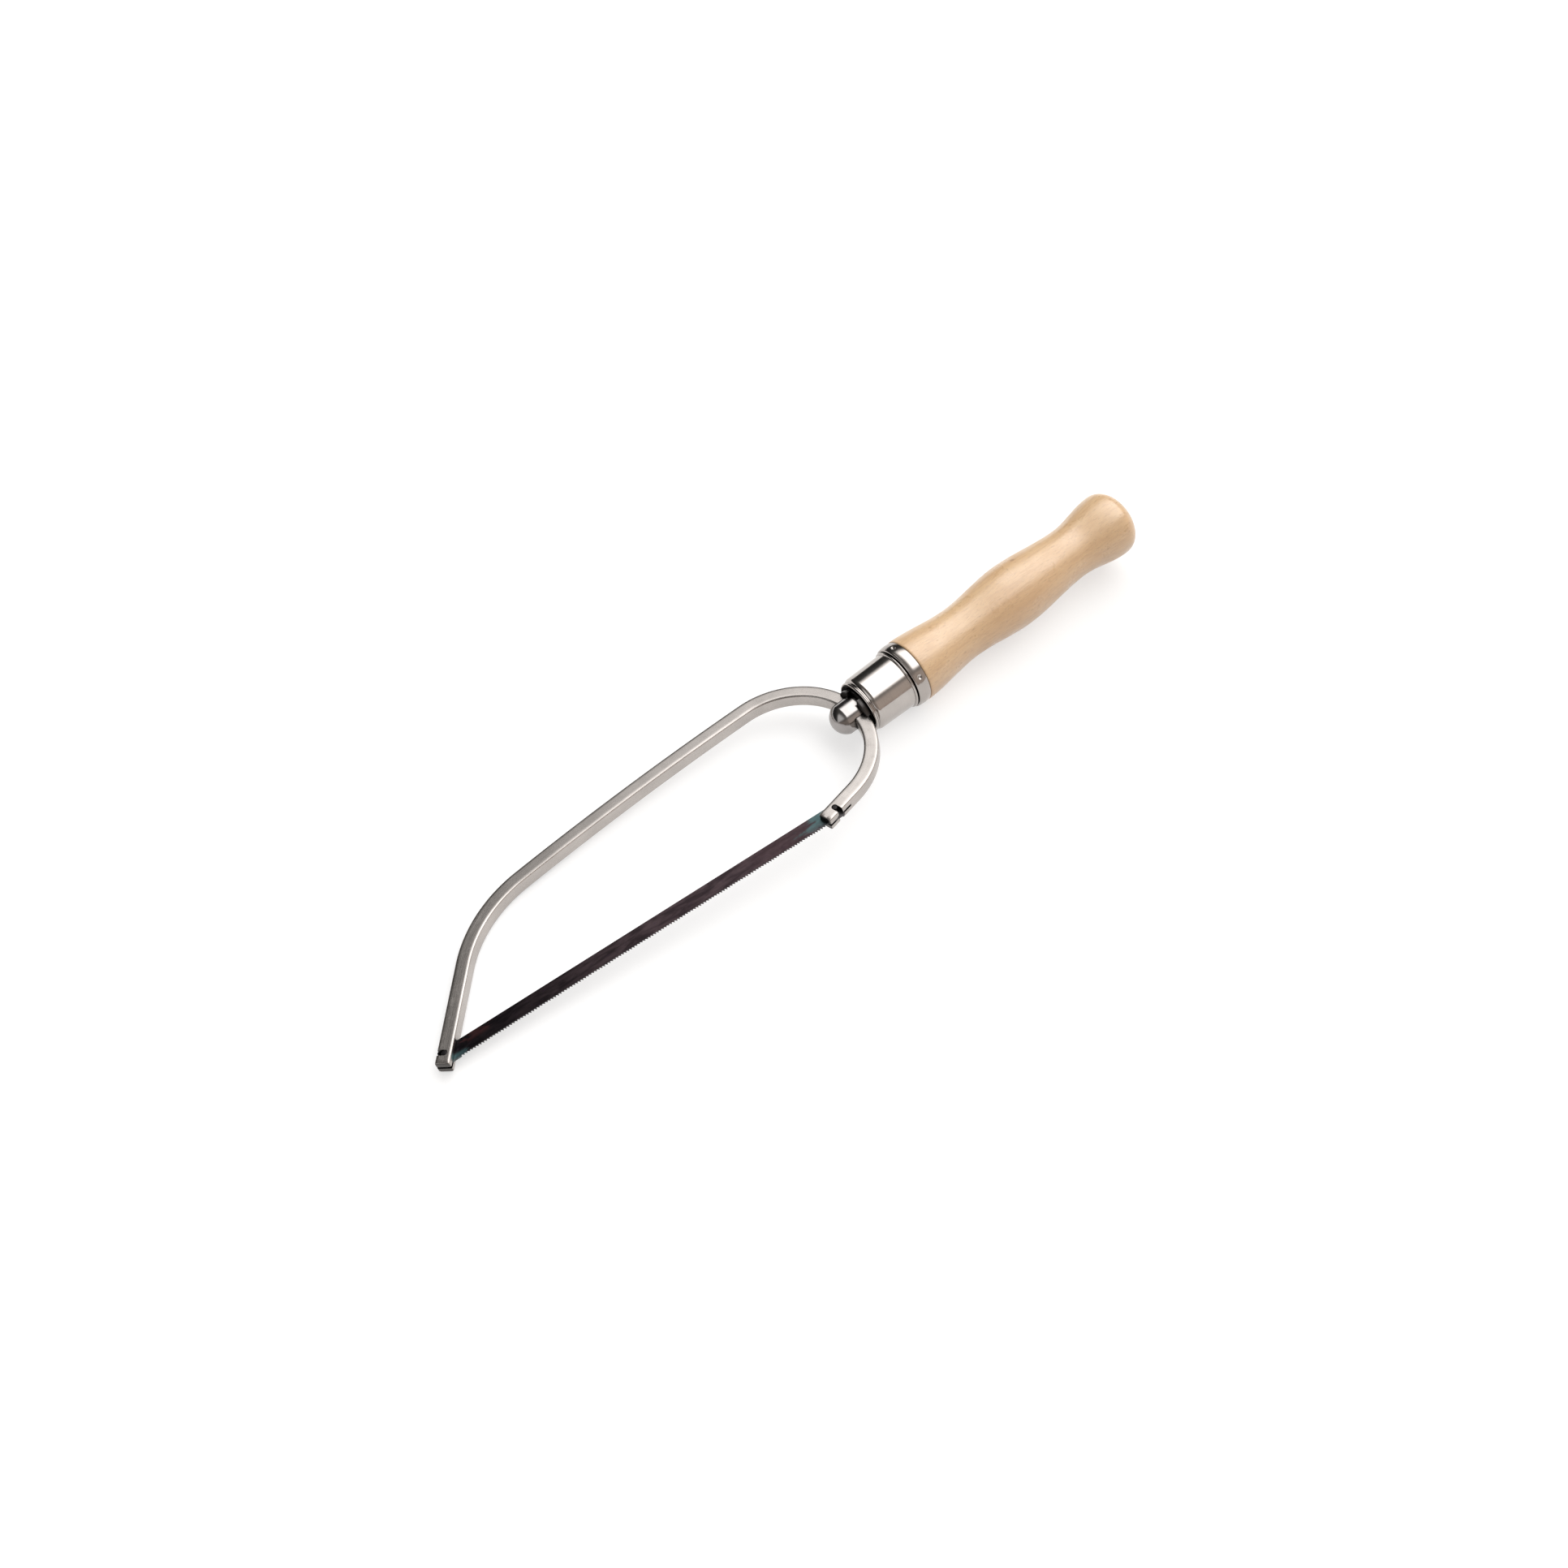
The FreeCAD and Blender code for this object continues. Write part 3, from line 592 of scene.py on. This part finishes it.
# crown: nickel darkened to near black as painted shade
crown_shaded_plate = plated("crown_nickel_painted_shade", CROWN_SHADED_NICKEL, rough=0.30, grain=(5.0, 0.05, 1),
                     grain_depth=0.0015, smudge=0.10)
# ferrule: nickel darkened a little as painted shade
ferrule_shaded_plate = plated("ferrule_nickel_painted_shade", FERRULE_SHADED_NICKEL, rough=0.13, grain=ROUND_AXIS,
                       grain_depth=0.0008, smudge=0.06)
blade_steel = blued_steel()
pin_steel = bare_steel("drawn_pin", PIN_STEEL, 0.36)
plain_steel = bare_steel("turned_steel", TURNED_STEEL, 0.38)
wood = beech()


# ---- bow ------------------------------------------------------------------------------

def bar_section(half):
    """Outline of the drawn bar as (outwards, across) pairs: faces that crown into the corners."""
    eighth = [0, 0.05, 0.5, 2, 5, 10, 17, 25, 35]
    quarter = eighth + [45] + [90 - t for t in reversed(eighth[1:])]
    outline = []
    for turn in range(4):
        for t in quarter:
            a = half * math.cos(math.radians(t)) ** SQUARENESS
            b = half * math.sin(math.radians(t)) ** SQUARENESS
            outline.append(((a, b), (-b, a), (-a, -b), (b, -a))[turn])
    return outline


def bar_rings(stations):
    """(centre, outward normal, inset of the outline), with both ends of the bar eased."""
    eased = []              # (inset, distance from the end)
    for i in range(END_RINGS):
        a = math.radians(END_FLAT + (90 - END_FLAT) * i / END_RINGS)
        eased.append((END_EASE * (1 - math.sin(a)), END_EASE * (1 - math.cos(a))))
    first, last = stations[0], stations[-1]
    into = stations[1][0] - first[0]
    out = last[0] - stations[-2][0]
    into, out = into / np.linalg.norm(into), out / np.linalg.norm(out)
    rings = [(first[0] + into * d, first[1], inset) for inset, d in eased]
    rings += [(centre, normal, 0.0) for centre, normal in stations[1:-1]]
    rings += [(last[0] - out * d, last[1], inset) for inset, d in reversed(eased)]
    return rings


def bow_piece():
    """Square bar bent round the bow, with a notch for the pin and a slit at each end."""
    rings = bar_rings(bow_line())
    points, uvs, faces, length = [], [], [], 0.0
    for k, (centre, normal, inset) in enumerate(rings):
        if k:
            length += np.linalg.norm(centre - rings[k - 1][0])
        outline = bar_section(BAR / 2 - inset)
        so_far = 0.0
        for i, (a, b) in enumerate(outline):
            points.append(centre + normal * a + ACROSS * b)
            if i:
                so_far += math.hypot(a - outline[i - 1][0], b - outline[i - 1][1])
            uvs.append((length, so_far))
    count = len(outline)
    for k in range(len(rings) - 1):
        a, b = k * count, (k + 1) * count
        faces += [(a + i, a + (i + 1) % count, b + (i + 1) % count, b + i) for i in range(count)]
    faces.append(tuple(reversed(range(count))))
    faces.append(tuple(range((len(rings) - 1) * count, len(rings) * count)))
    bar = mesh_object("bow_bar", points, faces, uvs)
    tidy(bar)

    notch = PIN_RADIUS + PIN_CLEARANCE
    half_slit = BLADE_THICKNESS / 2 + SLIT_CLEARANCE
    reach = 4.0             # past the bar's sides; no two cutters end in one plane
    cutters = []
    ends = ((Vector((0, 0, 0)), LEG_ANGLE, FRONT_END, FRONT_SLIT, (0, reach)),
            (Vector(REAR_PIN), REAR_ANGLE, REAR_END, REAR_SLIT, (-reach, 0)))
    for pin, angle, past_end, slit, (low, high) in ends:
        lie = Matrix.Translation(pin) @ Matrix.Rotation(math.radians(angle), 4, "Z")
        cutters += [
            rod(notch, -reach, reach, lie),
            block((-notch, low, -reach - 0.1), (notch, high, reach + 0.1), lie),
            block((-past_end - 1, -reach - 0.2, -half_slit), (slit, reach + 0.2, half_slit), lie),
        ]
    return cut(bar, cutters)


place(bow_piece(), SAW, "bow", ["bow"], bow_plate, 35)


# ---- blade ----------------------------------------------------------------------------

def blade_columns(back, tips, roots):
    """(x, lower edge, upper edge, sideways wave) along the blade."""
    corner = 0.6            # rounding of the plate's corners
    gullet = ((TOOTH_FACE * 0.5, 0.06), (TOOTH_FACE, 0.0), (TOOTH_FACE + 0.12, 0.03))
    columns = []
    turns = [math.radians(90 * i / 5) for i in range(6)]
    for t in turns:
        lift = corner * (1 - math.sin(t))
        columns.append((-OVERHANG + corner * (1 - math.cos(t)), tips + lift, back - lift, 0.0))
    for x in np.linspace(0.5, TEETH_FROM_PIN, 4):
        columns.append((float(x), tips, back, 0.0))
    for i in range(int((PIN_DISTANCE - 2 * TEETH_FROM_PIN) / TOOTH_PITCH)):
        start = TEETH_FROM_PIN + i * TOOTH_PITCH
        columns += [(start + on, roots + above, back, 0.0) for on, above in gullet]
        wave = TOOTH_SET * math.sin(2 * math.pi * (i + 0.5) / WAVE_TEETH)
        columns.append((start + TOOTH_PITCH, tips, back, wave))
    for x in np.linspace(PIN_DISTANCE - TEETH_FROM_PIN + 0.4, PIN_DISTANCE, 4):
        columns.append((float(x), tips, back, 0.0))
    end = PIN_DISTANCE + OVERHANG
    for t in turns:
        lift = corner * (1 - math.cos(t))
        columns.append((end - corner * (1 - math.sin(t)), tips + lift, back - lift, 0.0))
    return columns


def blade_piece():
    """Plate with a toothed edge whose tips wave from side to side."""
    back, tips = BLADE_WIDTH / 2, -BLADE_WIDTH / 2
    roots = tips + TOOTH_DEPTH
    line = roots + 0.35     # above it the plate is flat, below it the teeth lean
    half = BLADE_THICKNESS / 2
    edge = 0.07             # bevel along the back
    columns = blade_columns(back, tips, roots)
    points, uvs = [], []
    for x, low, high, wave in columns:
        lean = wave * (line - low) / (line - tips)
        section = [
            (high - edge, half), (line, half), (low, half + lean), (low, -half + lean),
            (line, -half), (high - edge, -half), (high, -half + edge), (high, half - edge),
        ]
        points += [(x, y, z) for y, z in section]
        uvs += [(x, y) for y, z in section]
    ring = len(section)
    faces = []
    for k in range(len(columns) - 1):
        a, b = k * ring, (k + 1) * ring
        faces += [(a + i, a + (i + 1) % ring, b + (i + 1) % ring, b + i) for i in range(ring)]
    faces.append(tuple(range(ring)))
    faces.append(tuple(reversed(range((len(columns) - 1) * ring, len(columns) * ring))))
    blade = mesh_object("blade_plate", points, faces, uvs)
    tidy(blade, join=False)
    return blade


place(blade_piece(), SAW, "bow", ["saw_blade"], blade_steel, 20)


def pin_piece(name, at):
    """Drawn cross pin with eased ends."""
    half = BAR / 2 - PIN_CLEARANCE
    ease = 0.18
    profile = [(-half, AXIS_GAP)]
    profile += arc_points((-half + ease, PIN_RADIUS - ease), ease, 180, 90, 5)
    profile += arc_points((half - ease, PIN_RADIUS - ease), ease, 90, 0, 5)
    profile += [(half, AXIS_GAP)]
    pin = lathe(name, profile, 48, closed=False)
    pin.data.transform(Matrix.Translation(at) @ Matrix.Rotation(math.radians(-90), 4, "Y"))
    return pin


for name, at in (("front", Vector((0, 0, 0))), ("rear", Vector(REAR_PIN))):
    place(pin_piece("pin_" + name, at), SAW, "bow", ["blade_pin_" + name], pin_steel)


# ---- clamp ----------------------------------------------------------------------------

def eye_cutter():
    """Square bar with rounded corners, across the bolt's head where the bow runs."""
    middle, half = (EYE[0] + EYE[1]) / 2, (EYE[1] - EYE[0]) / 2
    corner, steps = 0.5, 6
    count = 4 * steps
    points = []
    for y in (-HEAD_RADIUS * 2, HEAD_RADIUS * 2):
        for i in range(count):
            quarter, step = divmod(i, steps)
            t = math.radians(90 * quarter + 90 * step / (steps - 1))
            side = ((1, 1), (-1, 1), (-1, -1), (1, -1))[quarter]
            points.append((middle + side[0] * (half - corner) + corner * math.cos(t), y,
                           side[1] * (EYE_HALF - corner) + corner * math.sin(t)))
    faces = [(i, (i + 1) % count, count + (i + 1) % count, count + i) for i in range(count)]
    faces += [tuple(reversed(range(count))), tuple(range(count, 2 * count))]
    eye = mesh_object("eye", points, faces)
    tidy(eye)
    return eye


def bolt_piece():
    """Domed head with the bow's eye through it, and a threaded shank."""
    base = HEAD_TIP + HEAD_DOME
    sphere = (HEAD_RADIUS ** 2 + HEAD_DOME ** 2) / (2 * HEAD_DOME)
    centre = HEAD_TIP + sphere
    reach = math.degrees(math.atan2(HEAD_RADIUS, centre - base))
    ease = 0.25
    profile = arc_points((centre, 0), sphere, 179.6, 180 - reach + 1.5, 26)
    profile += [(base + 0.12, HEAD_RADIUS - 0.02), (base + ease + 0.1, HEAD_RADIUS)]
    profile += [(HEAD_BACK - 0.4, HEAD_RADIUS), (HEAD_BACK, HEAD_RADIUS - 0.4),
                (HEAD_BACK, THREAD_RADIUS)]
    plain = 4.0             # behind the head, before the thread
    root = THREAD_RADIUS - THREAD_DEPTH
    for i in range(int((THREAD_END - HEAD_BACK - plain - 2) / THREAD_PITCH)):
        start = HEAD_BACK + plain + i * THREAD_PITCH
        profile += [(start, THREAD_RADIUS), (start + 0.16, THREAD_RADIUS),
                    (start + 0.62, root), (start + 0.78, root)]
    profile += [(THREAD_END - 1, THREAD_RADIUS), (THREAD_END, THREAD_RADIUS - 1),
                (THREAD_END, AXIS_GAP)]
    return cut(lathe("draw_bolt_head", profile, 160, closed=False), [eye_cutter()])


place(bolt_piece(), HANDLE, "bolt", ["draw_bolt"], bolt_shaded_plate, 30)


def crown_piece():
    """Boss with four notches across its front, two of them round the bow."""
    front, floor, base, back = CROWN
    ease = 0.3
    profile = [(front, CROWN_BORE), (front, CROWN_RADIUS - ease)]
    profile += arc_points((front + ease, CROWN_RADIUS - ease), ease, 180, 90, 5)[1:]
    profile += [(base, CROWN_RADIUS), (base, SLEEVE_BORE), (back, SLEEVE_BORE),
                (back, THREAD_RADIUS + 0.05), (base, THREAD_RADIUS + 0.05), (base, CROWN_BORE)]
    crown = lathe("crown_boss", profile, 128)
    wide = CROWN_RADIUS * 2
    return cut(crown, [
        block((front - 1, -wide, -EYE_HALF), (floor, wide, EYE_HALF)),
        block((front - 1.1, -EYE_HALF, -wide), (floor - 0.001, EYE_HALF, wide)),
    ])


place(crown_piece(), HANDLE, "clamp", ["clamp_crown"], crown_shaded_plate, 30)


def sleeve_piece():
    """Rolled sleeve: rim, neck and shoulder in front, and a bead round its back edge."""
    front, back = SLEEVE
    r0, r1 = SLEEVE_RADII
    bead = 0.9              # its width
    rim, shoulder = 0.55, 1.7               # radii
    top = r0 - 0.55         # of the rim
    neck = front + 1.25
    profile = [(front + 0.1, SLEEVE_BORE), (front, SLEEVE_BORE + 0.1), (front, top - rim)]
    profile += arc_points((front + rim, top - rim), rim, 180, 62, 10)[1:]
    profile += [(neck - 0.23, top - 0.30), (neck - 0.13, top - 0.36)]
    profile += arc_points((neck + shoulder, r0 - shoulder), shoulder, 152, 90, 16)
    profile += [(neck + shoulder + 0.5, r0 + 0.01), (back - bead - 0.55, r1)]
    profile += [(back - bead - 0.25, r1 - 0.10), (back - bead - 0.05, r1 - 0.04)]
    middle = back - bead / 2
    height = BEAD_RADIUS - r1
    for i in range(1, 12):
        a = math.pi * i / 12
        profile.append((middle - bead / 2 * math.cos(a), r1 + height * math.sin(a)))
    profile += [(back, r1 - 0.1), (back, SLEEVE_BORE)]
    return lathe("sleeve_shell", profile, 224)


place(sleeve_piece(), HANDLE, "clamp", ["clamp_sleeve"], sleeve_plate, 40)
shade_cad_mesh("thrust_washer", plain_steel)


# ---- handle ---------------------------------------------------------------------------

DIMPLES = [(FERRULE[0] + 2.4, math.radians(75 + 72 * i)) for i in range(5)]
DIMPLE_REACH = 1.9


def dimple(x, angle):
    """How far the dimples move a point of the ferrule's side outwards; in is negative."""
    out = 0.0
    for at, turn in DIMPLES:
        away = (angle - turn + math.pi) % (2 * math.pi) - math.pi
        d = math.hypot(x - at, away * FERRULE_RADIUS)
        if d < DIMPLE_REACH:
            pit = 0.46 * math.exp(-(d / 0.62) ** 2)
            lip = 0.05 * math.exp(-((d - 1.05) / 0.3) ** 2)
            dish = 0.07 * math.exp(-(d / 1.3) ** 2)
            out += lip - pit - dish
    return out


def ferrule_piece():
    """Cup over the wood's end: rolled front edge, barrelled side with punched dimples."""
    front, back = FERRULE
    ease, wall, rows = 0.6, 0.8, 26
    last = back - 0.22

    def outer(x):
        share = (x - front - ease) / (last - front - ease)
        return FERRULE_RADIUS - BARREL * (2 * share - 1) ** 2

    side = [front + ease + (last - front - ease) * i / rows for i in range(rows + 1)]
    profile = [(front, SLEEVE_BORE)]
    profile += arc_points((front + ease, outer(side[0]) - ease), ease, 180, 95, 8)
    profile += [(x, outer(x)) for x in side]
    profile += [(back - 0.08, outer(last) - 0.06), (back, outer(last) - 0.2)]
    profile += [(back, FERRULE_RADIUS - wall), (front + wall, FERRULE_RADIUS - wall),
                (front + wall, SLEEVE_BORE)]
    on_side = set(side[1:-1])
    return lathe("ferrule_cup", profile, 420,
                 shift=lambda x, angle: dimple(x, angle) if x in on_side else 0.0)


place(ferrule_piece(), HANDLE, "handle", ["ferrule"], ferrule_shaded_plate, 40)


def wood_radius(d):
    """Radius of the grip at a distance behind the ferrule."""
    if d <= WOOD[-1][0]:
        for (x0, r0), (x1, r1) in zip(WOOD, WOOD[1:]):
            if d <= x1:
                t = (d - x0) / (x1 - x0)
                return r0 + (r1 - r0) * t * t * (3 - 2 * t)
    # behind the outline's last point the knob closes in a dome
    share = (d - WOOD[-1][0]) / (HANDLE_END - FERRULE[1] - WOOD[-1][0])
    return WOOD[-1][1] * max(0.0, 1 - share ** 2.4) ** (1 / 2.2)


def wood_piece():
    """Waisted grip with a rounded knob at its end."""
    start = FERRULE[1]
    knob = WOOD[-1][0]
    length = HANDLE_END - start
    profile = [(start + 0.02, 11.0), (start + 0.02, 11.6), (start + 0.12, 11.78)]
    profile += [(start + d, wood_radius(d)) for d in np.linspace(0.35, knob, 180)]
    shares = 1 - (1 - np.linspace(0, 1, 60)[1:]) ** 2
    for d in knob + (length - knob) * shares:
        profile.append((start + d, max(AXIS_GAP, wood_radius(d))))
    return lathe("beech_grip", profile, 192, closed=False)


place(wood_piece(), HANDLE, "handle", ["wooden_handle"], wood, 50)
shade_cad_mesh("handle_nut", plain_steel)


# ---- floor, light and camera ----------------------------------------------------------

FLOOR_RADIUS = 3.0           # metres
FLOOR_TINT = (0.47, 0.465, 0.46)
FLOOR_LIFT = 0.62            # with the lit floor's own colour it makes white
SOFT_BOX = (3.0, 3.0, 3.0)
FAR_BOX = (1.0, 1.0, 1.0)
DARK = (0.02, 0.02, 0.02)
WHITE = (1.0, 1.0, 1.0)
# the studio's walls as (share of the half turn about the frame's X from the far side
# over the top to the near side, colour)
WALLS = (
    (0.0, (0.14, 0.135, 0.13)), (0.06, (0.03, 0.03, 0.03)), (0.13, (0.05, 0.05, 0.05)),
    (0.20, (0.09, 0.09, 0.085)), (0.27, (0.17, 0.165, 0.16)), (0.55, (0.30, 0.29, 0.28)),
    (0.70, (0.45, 0.42, 0.40)), (0.76, (0.34, 0.31, 0.29)), (0.82, (0.62, 0.54, 0.49)),
    (0.93, (0.66, 0.57, 0.51)), (1.0, (0.56, 0.46, 0.41)),
)
LAMP_PLACE = (0.25, 0.85, 0.62)
LAMP_SIZE = 0.9              # metres
LAMP_POWER = 2.5             # watts

# the photograph's camera, solved from the saw's outline in it
LENS = 43.415                # millimetres, on a 36 mm sensor
SENSOR = 36
LENS_SHIFT = (-0.00191, -0.00214)
CAMERA_PLACE = (-0.20434, -0.33675, 0.50558)
CAMERA_RIGHT = (0.77798, -0.61970, -0.10353)
CAMERA_UP = (0.54380, 0.58164, 0.60496)


def floor_piece():
    """Pale floor that keeps its shadow and looks white to the camera, metal and glass."""
    count = 96
    turn = [2 * math.pi * i / count for i in range(count)]
    points = [(FLOOR_RADIUS * math.cos(t), FLOOR_RADIUS * math.sin(t), 0) for t in turn]
    floor = mesh_object("studio_floor", points, [tuple(range(count))])
    material = bpy.data.materials.new("studio_floor")
    material.use_nodes = True
    n = Nodes(material.node_tree)
    path = n.add("ShaderNodeLightPath").outputs
    mirrored = n.math("MAXIMUM", path["Is Glossy Ray"], path["Is Transmission Ray"])
    seen = n.math("MAXIMUM", path["Is Camera Ray"], mirrored)
    matt = n.add("ShaderNodeBsdfDiffuse", {"Color": FLOOR_TINT})
    lift = n.add("ShaderNodeEmission", {"Color": WHITE, "Strength": n.product(seen, FLOOR_LIFT)})
    both = n.add("ShaderNodeAddShader", {0: matt.outputs[0], 1: lift.outputs[0]})
    n.add("ShaderNodeOutputMaterial", {0: both.outputs[0]})
    floor.data.materials.append(material)


def studio_world():
    """Soft box overhead on the handle's side, a dimmer one past the bow's front, walls dark
    on the far side and warm grey on the near side.  The camera sees plain white."""
    world = bpy.data.worlds.new("studio")
    bpy.context.scene.world = world
    world.use_nodes = True
    n = Nodes(world.node_tree)
    coords = n.add("ShaderNodeTexCoord")
    x, y, z = n.add("ShaderNodeSeparateXYZ", {0: coords.outputs["Generated"]}).outputs
    degrees = n.product(n.math("ARCTAN2", z, y), 180 / math.pi)
    walls = n.add("ShaderNodeValToRGB", {0: n.math("DIVIDE", degrees, 180.0, clamp=True)})
    stops = walls.color_ramp.elements
    while len(stops) < len(WALLS):
        stops.new(0.5)
    for stop, (at, colour) in zip(stops, WALLS):
        stop.position = at
        stop.color = (*colour, 1)
    near = n.math("POWER", n.ramp(degrees, 32, 60), 1.4)
    soft_box = n.product(near, n.ramp(degrees, 133, 120), n.band(x, (0.06, 0.21), (0.95, 0.78)))
    far_box = n.product(n.band(degrees, (50, 70), (140, 115)), n.ramp(x, -0.50, -0.78))
    glow = n.tinted(walls.outputs[0], [
        (n.ramp(x, 0.2, -0.7, 0.0, 0.5), DARK), (soft_box, SOFT_BOX), (far_box, FAR_BOX)])
    path = n.add("ShaderNodeLightPath").outputs
    studio = n.add("ShaderNodeBackground", {"Color": glow, "Strength": 1.0})
    white = n.add("ShaderNodeBackground", {"Color": WHITE, "Strength": 1.0})
    both = n.add("ShaderNodeMixShader", {
        0: path["Is Camera Ray"], 1: studio.outputs[0], 2: white.outputs[0]})
    n.add("ShaderNodeOutputWorld", {0: both.outputs[0]})


def fill_lamp():
    """Large soft lamp beyond the saw, for the wood; the metal does not mirror it."""
    data = bpy.data.lights.new("fill_lamp", "AREA")
    data.size = LAMP_SIZE
    data.energy = LAMP_POWER
    lamp = bpy.data.objects.new("fill_lamp", data)
    bpy.context.scene.collection.objects.link(lamp)
    lamp.location = LAMP_PLACE
    lamp.rotation_euler = (-lamp.location).to_track_quat("-Z", "Y").to_euler()
    lamp.visible_glossy = False


def photo_camera():
    data = bpy.data.cameras.new("photo_camera")
    data.sensor_width = SENSOR
    data.lens = LENS
    data.shift_x, data.shift_y = LENS_SHIFT
    data.clip_start = 0.01
    camera = bpy.data.objects.new("photo_camera", data)
    bpy.context.scene.collection.objects.link(camera)
    right = Vector(CAMERA_RIGHT).normalized()
    back = Vector(CAMERA_RIGHT).cross(Vector(CAMERA_UP)).normalized()
    turn = Matrix((right, back.cross(right).normalized(), back)).transposed()
    camera.matrix_world = Matrix.Translation(CAMERA_PLACE) @ turn.to_4x4()
    bpy.context.scene.camera = camera


floor_piece()
studio_world()
fill_lamp()
photo_camera()
bpy.context.scene.view_settings.view_transform = "Standard"
